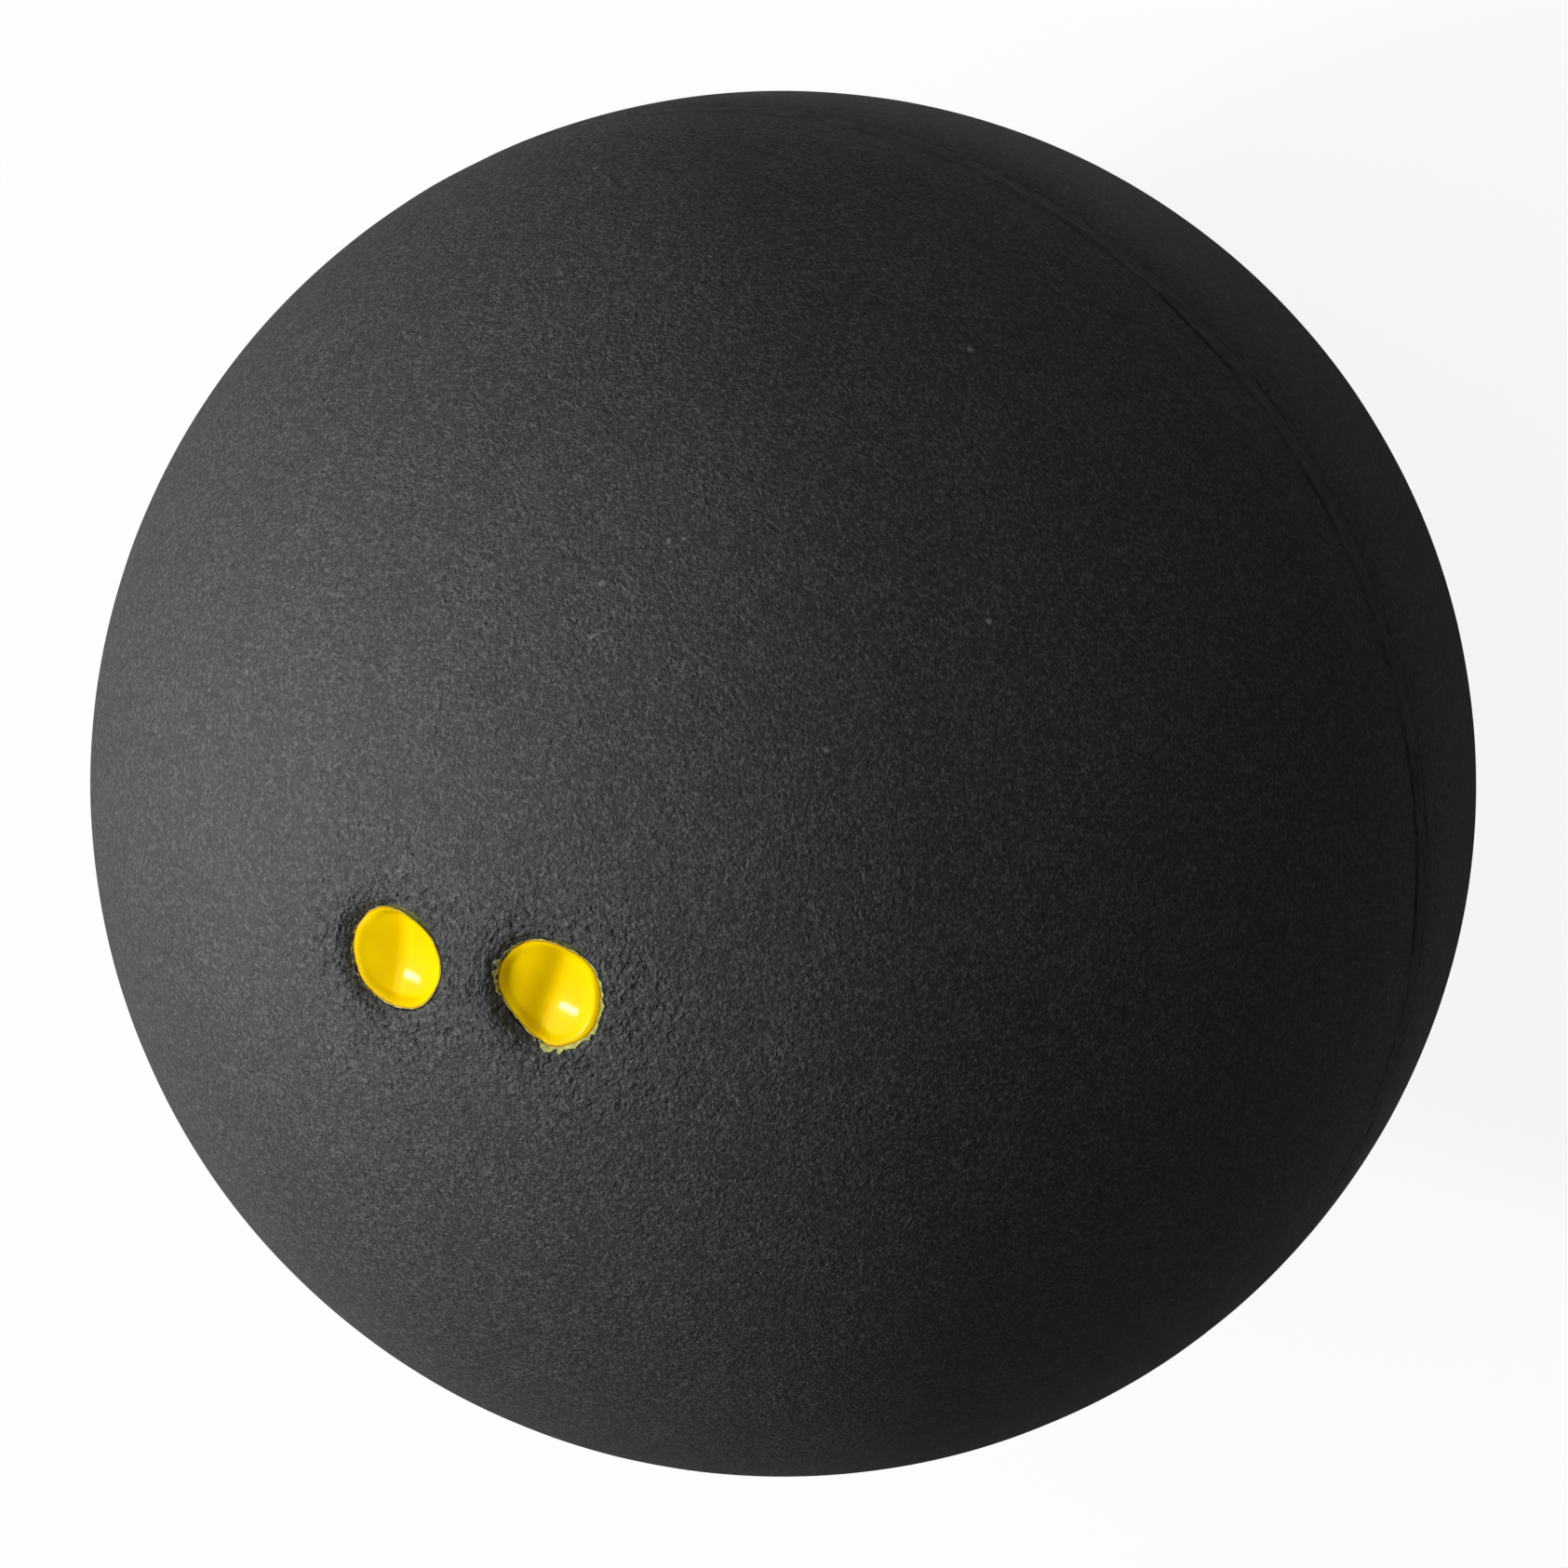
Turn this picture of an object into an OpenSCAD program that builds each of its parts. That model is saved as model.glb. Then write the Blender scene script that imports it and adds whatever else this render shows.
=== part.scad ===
// Squash ball with two yellow dots.
// Two moulded rubber half shells are glued edge to edge round the middle, and
// each dot is a dished plug of paint in a small cup moulded beside the pole.
// The origin is the centre of the ball. +Z runs along the mould axis, through
// the pole between the dots, and +X runs from the left dot to the right one.
// All sizes are in millimetres.

/* [Ball] */
// Outside diameter of the ball
ball_d = 40; // [34:0.5:60]
// Thickness of the rubber wall
wall_t = 5.2; // [3:0.1:8]

/* [Seam] */
// Thickness of the film of glue between the two half shells
film_t = 0.15; // [0.05:0.05:0.3]
// Width of the glue band on the outside of the ball
band_w = 0.65; // [0.4:0.05:1.2]
// Depth of the buffed edges that the glue band fills
band_depth = 0.5; // [0.3:0.05:1]
// Radius of the glue bead squeezed out into the hollow
bead_r = 0.45; // [0.2:0.05:0.8]
// Width of the dark line on the dotted side of the glue band
dark_line_w = 0.2; // [0.06:0.02:0.24]
// Width of the fainter line on the plain side of the glue band
faint_line_w = 0.1; // [0.06:0.02:0.24]

/* [Dots] */
// Diameter of a yellow dot
dot_d = 3.1; // [2:0.1:4]
// Land between the edges of the two dots
dot_gap = 1.7; // [1.4:0.1:4]
// Width of the moulded slope round a dot
collar_w = 0.5; // [0.2:0.05:0.6]
// Drop of the moulded slope from the ball's surface to the dot
collar_drop = 0.2; // [0.1:0.05:0.3]
// Depth of the cup wall that the paint sits against
cup_depth = 0.65; // [0.6:0.05:0.9]
// Dip of the paint's surface from its edge to its middle
paint_dip = 0.4; // [0.05:0.05:0.5]

/* [Hidden] */
$fn = 180;

// The cuts run past the surface that they open by this much
overrun = 0.5;

ball_r = ball_d / 2;
hollow_r = ball_r - wall_t;

// The dots lean out from the pole by the same angle, left and right
dot_r = dot_d / 2;
dot_spacing = dot_d + dot_gap;
dot_lean = asin(dot_spacing / ball_d);

// Heights along a dot's own axis, from the centre of the ball
collar_r = dot_r + collar_w;
collar_top = sqrt(ball_r * ball_r - collar_r * collar_r);
cup_top = collar_top - collar_drop;
cup_floor = cup_top - cup_depth;
collar_rise_share = collar_drop / collar_w;

// The glue band narrows from the surface to the film
band_slope_share = (band_w - film_t) / 2 / band_depth;
band_foot_r = ball_r - band_depth;
line_r = sqrt(ball_r * ball_r - band_w * band_w / 4);

// Round profile of the space between the two half shells
module glue_gap() {
  half_film = film_t / 2;
  outer_r = ball_r + overrun;
  outer_half = half_film + band_slope_share * (outer_r - band_foot_r);
  rotate_extrude()
    polygon([[hollow_r - bead_r / 2, -half_film],
             [band_foot_r, -half_film],
             [outer_r, -outer_half],
             [outer_r, outer_half],
             [band_foot_r, half_film],
             [hollow_r - bead_r / 2, half_film]]);
}

// Fine round groove along one edge of the glue band
module edge_line(height, width) {
  rotate_extrude()
    translate([line_r, height])
      circle(d = width);
}

// The two grooves that show where glue and rubber meet
module edge_lines() {
  edge_line(band_w / 2, dark_line_w);
  edge_line(-band_w / 2, faint_line_w);
}

// Stands a shape that lies on the pole at the left or the right dot
module at_dot(side) {
  rotate([0, side * dot_lean, 0])
    children();
}

// Cup and moulded slope that a dot's paint sits in
module dot_cup() {
  mouth_r = collar_r + overrun;
  mouth_top = collar_top + collar_rise_share * overrun;
  rotate_extrude()
    polygon([[0, cup_floor],
             [dot_r, cup_floor],
             [dot_r, cup_top],
             [mouth_r, mouth_top],
             [mouth_r, ball_r + overrun],
             [0, ball_r + overrun]]);
}

// Half of the hollow rubber ball above the seam, with its buffed edge
module half_shell() {
  difference() {
    sphere(r = ball_r);
    sphere(r = hollow_r);
    translate([-ball_d, -ball_d, -ball_d])
      cube([2 * ball_d, 2 * ball_d, ball_d]);
    glue_gap();
  }
}

// Plug of paint with a dished top, standing on the pole
module paint_plug() {
  dish_r = (dot_r * dot_r + paint_dip * paint_dip) / 2 / paint_dip;
  difference() {
    translate([0, 0, cup_floor])
      cylinder(r = dot_r, h = cup_depth);
    translate([0, 0, cup_top - paint_dip + dish_r])
      sphere(r = dish_r);
  }
}

module dotted_half_shell() {
  color("#2c2c2d")
    difference() {
      half_shell();
      edge_lines();
      at_dot(-1) dot_cup();
      at_dot(1) dot_cup();
    }
}

module plain_half_shell() {
  color("#29292a")
    difference() {
      mirror([0, 0, 1]) half_shell();
      edge_lines();
    }
}

module seam_adhesive() {
  color("#3a3835")
    difference() {
      union() {
        intersection() {
          sphere(r = ball_r);
          glue_gap();
        }
        intersection() {
          sphere(r = hollow_r);
          rotate_extrude()
            translate([hollow_r, 0])
              circle(r = bead_r);
        }
      }
      edge_lines();
    }
}

module left_yellow_dot() {
  color("#ebd411")
    at_dot(-1) paint_plug();
}

module right_yellow_dot() {
  color("#dec409")
    at_dot(1) paint_plug();
}

dotted_half_shell();
plain_half_shell();
seam_adhesive();
left_yellow_dot();
right_yellow_dot();
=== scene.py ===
"""Squash ball with two yellow dots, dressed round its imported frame.

Two half shells of buffed black rubber meet at a glued seam round the waist.
Two dots of glossy yellow paint lie in moulded cups beside the top pole.
"""

import math
from dataclasses import dataclass
from functools import cached_property

import bmesh
import bpy
from bpy.props import FloatProperty, FloatVectorProperty, IntProperty, PointerProperty
from mathutils import Matrix, Vector, noise


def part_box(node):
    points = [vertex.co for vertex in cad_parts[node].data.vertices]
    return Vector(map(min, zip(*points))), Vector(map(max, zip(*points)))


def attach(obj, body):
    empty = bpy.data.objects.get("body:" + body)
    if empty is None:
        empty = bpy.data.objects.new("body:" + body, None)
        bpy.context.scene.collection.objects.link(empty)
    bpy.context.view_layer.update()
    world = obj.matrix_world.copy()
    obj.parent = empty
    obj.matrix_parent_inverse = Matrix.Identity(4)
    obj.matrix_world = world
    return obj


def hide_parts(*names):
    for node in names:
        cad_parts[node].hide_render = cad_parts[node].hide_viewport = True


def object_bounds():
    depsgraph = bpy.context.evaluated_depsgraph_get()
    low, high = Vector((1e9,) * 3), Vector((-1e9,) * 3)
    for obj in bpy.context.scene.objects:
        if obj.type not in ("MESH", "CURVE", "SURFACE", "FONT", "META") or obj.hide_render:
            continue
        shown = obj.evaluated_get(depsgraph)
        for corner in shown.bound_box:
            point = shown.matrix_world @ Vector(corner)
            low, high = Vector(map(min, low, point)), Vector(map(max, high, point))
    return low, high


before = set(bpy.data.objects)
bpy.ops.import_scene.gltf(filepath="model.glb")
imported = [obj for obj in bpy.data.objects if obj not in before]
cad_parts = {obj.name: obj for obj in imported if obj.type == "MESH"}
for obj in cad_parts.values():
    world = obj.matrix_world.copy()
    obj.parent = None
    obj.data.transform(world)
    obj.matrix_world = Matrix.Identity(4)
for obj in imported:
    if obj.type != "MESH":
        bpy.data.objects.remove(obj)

bl_info = {
    "name": "Squash ball",
    "version": (1, 0, 0),
    "blender": (4, 5, 0),
    "location": "View3D > Sidebar > Squash ball",
    "description": "Rubber squash ball with a glued seam and two painted dots",
    "category": "Add Mesh",
}

MM = 0.001
UP = Vector((0, 0, 1))
CENTRE = Vector((0, 0, 0))
CAD_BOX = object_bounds()
DOTTED = 1
PLAIN = -1


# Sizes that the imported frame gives


def frame_radius():
    """Radius of the largest ball that stays inside the frame's box."""
    low, high = CAD_BOX
    return min(min(-value for value in low), min(high))


def frame_hollow_radius():
    """Radius of the hollow, from the innermost corner of the plain half shell."""
    return min(v.co.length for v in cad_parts["plain_half_shell"].data.vertices)


def frame_dot(node):
    """Axis of a dot's cup and its radius, from the box of its plug of paint."""
    low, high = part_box(node)
    return ((low + high) / 2).normalized(), (high.y - low.y) / 2


# Sizes and colours that a user may change


def length(name, description, default, least=0.0):
    """Setting that holds a length in metres."""
    return FloatProperty(name=name, description=description, default=default, min=least,
                         unit="LENGTH")


def fraction(name, description, default, most=1.0):
    """Setting that holds a share."""
    return FloatProperty(name=name, description=description, default=default, min=0.0, max=most,
                         subtype="FACTOR")


def angle(name, description, degrees):
    """Setting that holds an angle, given here in degrees."""
    return FloatProperty(name=name, description=description, default=math.radians(degrees),
                         subtype="ANGLE")


def colour(name, description, default):
    """Setting that holds a colour."""
    return FloatVectorProperty(name=name, description=description, default=default, min=0.0,
                               max=1.0, subtype="COLOR")


class BallSizes(bpy.types.PropertyGroup):
    """Sizes of the rubber ball."""

    radius: length("Ball radius", "Outside radius of the ball", frame_radius(), MM)
    hollow: length(
        "Hollow radius", "Radius of the hollow inside the rubber wall", frame_hollow_radius(), MM)
    facet: length("Facet size", "Length of a mesh edge on plain rubber", 0.4 * MM, 0.05 * MM)
    sway: length("Unevenness", "Depth of the slow hollows that buffing leaves", 0.012 * MM)


class SeamSizes(bpy.types.PropertyGroup):
    """Sizes of the glued seam round the waist."""

    band: length("Band width", "Width of the glue band on the surface", 0.65 * MM, 0.1 * MM)
    band_depth: length(
        "Band depth", "Depth of the buffed edges that the glue fills", 0.5 * MM, 0.1 * MM)
    film: length(
        "Film thickness", "Thickness of the glue between the half shells", 0.15 * MM, 0.01 * MM)
    bead: length("Bead radius", "Radius of the glue bead inside the hollow", 0.45 * MM, 0.1 * MM)
    groove_depth: length("Groove depth", "Depth of the dark line where it is strongest", 0.2 * MM)
    groove_width: length("Groove width", "Width of the dark line where it is strongest", 0.2 * MM)
    wander: length("Wander", "How far a line strays from its even course", 0.06 * MM)
    turns: IntProperty(
        name="Steps round", description="Mesh steps round the waist", default=1200, min=64)


class DotSizes(bpy.types.PropertyGroup):
    """Sizes of the moulded cups and of the paint in them."""

    collar: length("Collar width", "Width of the rounded slope round a dot", 0.5 * MM, 0.05 * MM)
    drop: length("Collar drop", "Drop of the slope from the surface to the paint", 0.36 * MM)
    drop_even: fraction("Evenness of the drop", "Share of the drop on the side towards +X", 0.1)
    cup: length("Cup depth", "Height of the cup's wall below the slope", 0.65 * MM, 0.05 * MM)
    dish: fraction(
        "Dish", "Depth of the dishes in the paint, as a share of those in the photograph", 1.0, 1.5)
    skin: length(
        "Paint skin", "Thickness of the paint's fringe on the rubber", 0.015 * MM, 0.001 * MM)
    crease: length("Crease depth", "Depth of the wrinkles round a dot", 0.1 * MM)
    facet: length("Facet size", "Length of a mesh edge beside a dot", 0.035 * MM, 0.01 * MM)


class RubberLook(bpy.types.PropertyGroup):
    """Finish of the rubber, the glue and the paint."""

    rubber: colour("Rubber", "Colour of the rubber", (0.03, 0.03, 0.0305))
    bloom: colour("Bloom", "Colour of the pale bloom on the rubber", (0.09, 0.09, 0.0905))
    glue: colour("Glue", "Colour of the cured glue", (0.03, 0.03, 0.0305))
    paint: colour("Paint", "Colour of the yellow paint", (0.98, 0.68, 0.0))
    smear: colour("Smear", "Colour of the paint smeared thin over rubber", (0.6, 0.64, 0.18))
    roughness: fraction("Rubber roughness", "Roughness of the buffed rubber", 0.66)
    grain: length("Grain height", "Height of the leathery grain", 0.012 * MM)


class StageLook(bpy.types.PropertyGroup):
    """Camera and floor."""

    azimuth: angle("Camera azimuth", "Turn of the camera about the ball's axis, from +X", 39.29)
    height: angle("Camera height", "Angle of the camera above the seam's plane", 59.48)
    roll: angle("Camera roll", "Turn of the camera about its own line of sight", -121.71)
    distance: length(
        "Camera distance", "Distance of the camera from the ball's centre", 0.34, 0.05)
    photo_px: IntProperty(
        name="Picture width", description="Width of the square picture, in its pixels",
        default=1685, min=16)
    outline_px: FloatProperty(
        name="Outline radius", description="Radius of the ball's outline, in those pixels",
        default=745.0, min=1.0)
    middle_px: FloatVectorProperty(
        name="Outline middle", description="Middle of the ball's outline, in those pixels",
        size=2, default=(841.67, 842.25))
    floor: colour("Floor", "Colour of the floor", (0.17, 0.17, 0.17))
    shadow_share: fraction(
        "Shadow share", "How much of the floor's own light the camera sees", 0.1)
    gloss_share: fraction(
        "Gloss share", "How much of the floor's white shows in gloss and through glass", 0.04)


GROUPS = {
    "ball": BallSizes, "seam": SeamSizes, "dots": DotSizes, "look": RubberLook, "stage": StageLook,
}


def sizes(group):
    """The scene's settings of one group."""
    return getattr(bpy.context.scene, "squash_" + group)


# Places on the ball


def on_circle(turn, flat, height):
    """Point at a turn round the Z axis, flat from it and at a height."""
    return Vector((math.cos(turn) * flat, math.sin(turn) * flat, height))


def on_ball(azimuth, latitude, radius):
    """Point at an azimuth and latitude, in radians."""
    return on_circle(azimuth, math.cos(latitude) * radius, math.sin(latitude) * radius)


def azimuth_of(point):
    """Azimuth of a point about the ball's axis, in radians."""
    return math.atan2(point.y, point.x)


def smooth(value):
    """Eased step: 0 below 0, 1 above 1."""
    value = min(1.0, max(0.0, value))
    return value * value * (3 - 2 * value)


def round_noise(azimuth, rate, seed):
    """Smooth noise round the waist that closes on itself. rate is in waves a radian."""
    return noise.noise(on_circle(azimuth, rate, seed))


def turn_between(first, second):
    """Smallest turn from one angle to another, in radians."""
    return abs((first - second + math.pi) % math.tau - math.pi)


# The seam's two lines. Each wanders a little and opens and closes along its way.

# Least opening of the dark line, and size of the faint line as a share of the dark one's
LEAST_OPENING = 0.05
FAINT_SHARE = 0.7
# Middle and half length, in degrees of azimuth, of the stretches where the dark line is open
OPEN_STRETCHES = ((53.0, 4.0), (6.5, 9.0), (36.0, 2.0), (-66.0, 7.0), (128.0, 9.0), (-154.0, 6.0))


def seam_strength(azimuth, side):
    """How open a line of the seam is, from 0 to 1."""
    if side == PLAIN:
        wide = round_noise(azimuth, 9, 4.7)
        return smooth(0.3 + 0.9 * wide + 0.3 * round_noise(azimuth, 31, 8.1))
    wide = max(0.0, round_noise(azimuth, 23, 5.9))
    strength = 0.1 + 0.5 * wide + 0.4 * round_noise(azimuth, 80, 2.3)
    for middle, half in OPEN_STRETCHES:
        away = turn_between(azimuth, math.radians(middle)) / math.radians(half)
        strength += 0.85 * smooth(2 * (1.25 - away))
    return min(1.0, max(LEAST_OPENING, strength))


def seam_line(azimuth, side):
    """Height of a line's middle, half its width and its depth at one azimuth."""
    seam = sizes("seam")
    strength = seam_strength(azimuth, side)
    stray = round_noise(azimuth, 21, 11.3 * side) + 0.6 * round_noise(azimuth, 58, 3.1 * side)
    height = side * seam.band / 2 + seam.wander * stray
    thin = 1.0 if side == DOTTED else FAINT_SHARE
    half_width = seam.groove_width / 2 * (0.3 + 0.7 * strength) * thin
    depth = seam.groove_depth * (0.08 + 0.92 * strength) * thin
    return height, half_width, depth


def lip_step(azimuth, side, step):
    """Place of one step down the lip beside a line, from the even surface to its floor.

    step is (distance from the line's middle in half widths, further distance, share of depth).
    A positive distance lies towards the rubber and a negative one towards the glue band.
    """
    ball = sizes("ball")
    widths, further, depth_share = step
    height, half_width, depth = seam_line(azimuth, side)
    z = height + side * (widths * half_width + further)
    radius = ball.radius - depth * depth_share
    return math.sqrt(radius * radius - z * z), z


# Steps down the rubber's lip, and the same down the glue band's edge
RUBBER_LIP = ((1.0, 0.34 * MM, 0.0), (1.0, 0.16 * MM, 0.03), (1.0, 0.06 * MM, 0.1),
              (1.0, 0.0, 0.28), (0.5, 0.0, 0.75), (0.0, 0.0, 1.0))


# Meshes

# How often edges may be halved, and distances at which a corner is moved onto a cut
MOST_HALVINGS = 5
RIM_SNAP = 0.004 * MM
CUP_SNAP = 0.002 * MM


def edge_middle(edge):
    """Middle of an edge."""
    return (edge.verts[0].co + edge.verts[1].co) / 2


def split_into_triangles(mesh):
    """Splits the faces that have more than three corners."""
    bmesh.ops.triangulate(mesh, faces=[f for f in mesh.faces if len(f.verts) > 3])


def halve_long_edges(mesh, side):
    """Halves edges that are longer than wanted there, and sets new corners on the ball."""
    radius = sizes("ball").radius
    for _ in range(MOST_HALVINGS):
        long_edges = [e for e in mesh.edges if e.calc_length() > wanted_edge(edge_middle(e), side)]
        if not long_edges:
            return
        bmesh.ops.subdivide_edges(mesh, edges=long_edges, cuts=1)
        split_into_triangles(mesh)
        for v in mesh.verts:
            v.co = v.co.normalized() * radius


def cut_level(mesh, height, side):
    """Cuts a sphere level at a height and keeps the part away from the seam."""
    parts = mesh.verts[:] + mesh.edges[:] + mesh.faces[:]
    bmesh.ops.bisect_plane(mesh, geom=parts, dist=RIM_SNAP, plane_co=UP * height,
                           plane_no=UP * side, clear_inner=True)
    split_into_triangles(mesh)


def each_once(parts):
    """List of some parts without repeats, in their own order."""
    return list(dict.fromkeys(parts))


def open_edges(mesh):
    """Edges with a face on one side only."""
    return [e for e in mesh.edges if e.is_boundary]


def next_ring(mesh, loop, place):
    """Extrudes an open loop of edges and puts each new corner where place(corner) says."""
    made = bmesh.ops.extrude_edge_only(mesh, edges=loop)["geom"]
    for v in made:
        if isinstance(v, bmesh.types.BMVert):
            v.co = place(v.co)
    return [e for e in made if isinstance(e, bmesh.types.BMEdge) and e.is_boundary]


def at_azimuth(co, flat, height):
    """Point at the azimuth of co, flat from the axis and at a height."""
    return on_circle(azimuth_of(co), flat, height)


def add_object(name, data):
    """New object in the scene."""
    made = bpy.data.objects.new(name, data)
    bpy.context.scene.collection.objects.link(made)
    return made


def add_mesh(mesh, name, recipe):
    """New object from a finished mesh, in the material that a recipe gives."""
    data = bpy.data.meshes.new(name)
    mesh.to_mesh(data)
    mesh.free()
    data.materials.append(finish(recipe))
    return add_object(name, data)


def add_piece(mesh, name, recipe, node):
    """Makes a finished mesh into a piece that rides on the ball and stands for a node."""
    bmesh.ops.recalc_face_normals(mesh, faces=mesh.faces)
    piece = add_mesh(mesh, name, recipe)
    piece.data.shade_smooth()
    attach(piece, "root")
    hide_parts(node)


# The rubber half shells

# Heights over the seam where the even surface ends and the lip starts, and of a first rough cut
LIP_TOP = 1.05 * MM
ROUGH_CUT = 0.5 * MM
# Mesh of the hollow, which nobody sees: length of an edge round its rim, and rings to its pole
HOLLOW_FACET = 0.6 * MM
HOLLOW_RINGS = 24
# Edge of an icosahedron as a share of its radius, less some slack
FIRST_EDGE = 1.05 / 1.3
# How fast mesh edges grow away from the seam, and from which height on
SEAM_GROWTH = 0.28
SEAM_STRIP = 1.2 * MM
# The same away from a ring round each dot, and how far the ring is from the cup
DOT_GROWTH = 0.3
DOT_STRIP = 0.4 * MM
RING_PLACE = 0.35 * MM
# How far round a cup's axis its faces are cut, and its edges are found, in shares of its radius
CUT_REACH = 1.3
WALL_REACH = 1.1
# Steps from a cup's rim to its floor: share of the radius, and share of the way down
CUP_STEPS = ((1.0, 0.2), (1.0, 1.0), (0.9, 1.0))
# How steeply the slope round a cup ends, and how far out the rubber is pressed
SLOPE_POWER = 1.9
PRESSED = 1.5 * MM
# Wrinkles: waves a millimetre outwards, waves round the dot, share of the depth
WRINKLES = ((5.0, 2.2, 1.0), (9.0, 5.0, 0.6))
# Millimetres from the cup where they end, over which they fade there, and over which they start
WRINKLE_END = 1.15
WRINKLE_FADE = 0.8
WRINKLE_START = 0.08


class DotPlace:
    """One dot's cup: its axis, its radius and directions across it."""

    def __init__(self, node):
        self.axis, self.radius = frame_dot(node)
        self.across = (Vector((1, 0, 0)) - self.axis * self.axis.x).normalized()
        self.along = self.axis.cross(self.across)

    def reach(self, point):
        """Distance of a point from the cup's axis."""
        return (point - self.axis * point.dot(self.axis)).length

    def bearing(self, point):
        """Direction of a point round the cup: 0 towards +X and a quarter turn towards +Y."""
        return math.atan2(point.dot(self.along), point.dot(self.across))

    def point(self, bearing, reach, depth):
        """Point round the cup, depth below the ball's surface over the cup's axis."""
        side = self.across * math.cos(bearing) + self.along * math.sin(bearing)
        return self.axis * (sizes("ball").radius - depth) + side * reach

    def moved(self, point, reach, depth):
        """A point moved to a reach and depth at its own bearing."""
        return self.point(self.bearing(point), reach, depth)

    def depth(self, point):
        """Depth of a point below the ball's surface over the cup's axis."""
        return sizes("ball").radius - point.dot(self.axis)

    def holds(self, point, share):
        """Whether a point of the ball lies over the cup, within a share of its radius."""
        return self.reach(point) < self.radius * share and point.dot(self.axis) > 0

    def surface_depth(self, reach):
        """Depth of the ball's own surface at a reach, below its top over the axis."""
        radius = sizes("ball").radius
        return radius - math.sqrt(radius * radius - reach * reach)


LEFT_DOT = DotPlace("left_yellow_dot")
RIGHT_DOT = DotPlace("right_yellow_dot")
DOTS = (LEFT_DOT, RIGHT_DOT)

# Nicks beside the dots: the two ends on X and Y, half the width and the depth, in millimetres
NICKS = (
    (-4.8, -1.2, -4.3, -1.8, 0.05, 0.05), (-1.6, -2.2, -1.4, -2.5, 0.05, 0.06),
    (-1.7, -2.8, -0.8, -2.3, 0.04, 0.04), (0.4, -2.0, 0.8, -2.4, 0.05, 0.06),
    (-0.3, -0.4, 0.05, -0.9, 0.04, 0.03), (1.4, -2.8, 1.8, -3.1, 0.05, 0.04),
    (0.4, -1.6, 0.7, -1.9, 0.04, 0.04),
)
# Share of the radius over which the top of the ball starts, where the nicks are
TOP_SHARE = 0.95


def rim_drop(bearing):
    """Drop from the ball's surface to a cup's rim, most on the side towards -X."""
    dots = sizes("dots")
    share = smooth(0.5 - 0.62 * math.cos(bearing - 0.35))
    return dots.drop * (dots.drop_even + (1 - dots.drop_even) * share)


def collar_depth(dot, bearing, reach):
    """Depth of the rounded slope round a cup: level at its outer edge, steep at the cup."""
    dots = sizes("dots")
    share = min(1.0, (dot.radius + dots.collar - reach) / dots.collar)
    if share <= 0:
        return 0.0
    return rim_drop(bearing) * share ** SLOPE_POWER


def rim_level(dot, bearing):
    """Depth of a cup's rim below the ball's surface over the cup's axis."""
    return dot.surface_depth(dot.radius) + rim_drop(bearing)


def wrinkle_depth(dot, point, bearing, reach, seed):
    """Depth of the broken arcs pressed round a cup, deepest on the side towards -X."""
    over = (reach - dot.radius) / MM
    fade = smooth((WRINKLE_END - over) / WRINKLE_FADE) * smooth(over / WRINKLE_START)
    if fade <= 0:
        return 0.0
    lean = 0.3 + 0.7 * smooth(0.5 - 0.8 * math.cos(bearing - 0.6))
    rough = noise.noise(point / MM * 3.3 + Vector((seed, 0, 0)))
    depth = 0.0
    for rate, rounds, share in WRINKLES:
        place = on_circle(bearing, rounds, seed + over * rate)
        arc = max(0.0, 1 - abs(noise.noise(place) + 0.3 * rough) * 8)
        depth = max(depth, share * arc * arc)
    return sizes("dots").crease * fade * lean * depth


def nick_depth(point):
    """Depth of the short nicks beside the dots."""
    deepest = 0.0
    if point.z < sizes("ball").radius * TOP_SHARE:
        return deepest
    for x0, y0, x1, y1, half, depth in NICKS:
        start = Vector((x0 * MM, y0 * MM))
        run = Vector((x1 * MM, y1 * MM)) - start
        off = Vector((point.x, point.y)) - start
        along = min(1.0, max(0.0, off.dot(run) / run.length_squared))
        away = (off - run * along).length / (half * MM)
        if away < 2:
            ragged = 0.75 + 0.5 * noise.noise(point / MM * 9)
            deepest = max(deepest, depth * MM * ragged * smooth(1.5 - away))
    return deepest


def sway_depth(point):
    """Depth of the slow hollows that buffing leaves, 3 mm and 1 mm across."""
    slow = noise.noise(point / MM * 0.33) * 0.6 + noise.noise(point / MM * 0.9) * 0.25
    return sizes("ball").sway * min(1.0, max(0.0, 0.5 + slow))


def rubber_depth(point, side):
    """Depth of the finished rubber below the even ball at a point of its surface."""
    depth = sway_depth(point) * smooth((abs(point.z) - sizes("seam").band) / MM)
    if side == PLAIN:
        return depth
    for seed, dot in enumerate(DOTS):
        reach = dot.reach(point)
        if reach < dot.radius + PRESSED:
            bearing = dot.bearing(point)
            depth += collar_depth(dot, bearing, reach)
            depth += wrinkle_depth(dot, point, bearing, reach, 7.3 * seed)
    return depth + nick_depth(point)


def wanted_edge(point, side):
    """Longest mesh edge at a point: short at the dots and the seam, longer between."""
    ball = sizes("ball")
    seam_edge = math.tau * ball.radius / sizes("seam").turns
    lengths = [ball.facet, seam_edge + SEAM_GROWTH * max(0.0, abs(point.z) - SEAM_STRIP)]
    if side == DOTTED:
        fine = sizes("dots").facet
        for dot in DOTS:
            over = abs(dot.reach(point) - dot.radius - RING_PLACE)
            lengths.append(fine + DOT_GROWTH * max(0.0, over - DOT_STRIP))
    return max(min(lengths), seam_edge / 2)


def sphere_mesh(radius, facet):
    """Even sphere whose edges are at most about facet long."""
    mesh = bmesh.new()
    halvings = math.ceil(math.log2(radius / facet * FIRST_EDGE))
    bmesh.ops.create_icosphere(mesh, subdivisions=1 + halvings, radius=radius)
    return mesh


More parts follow.
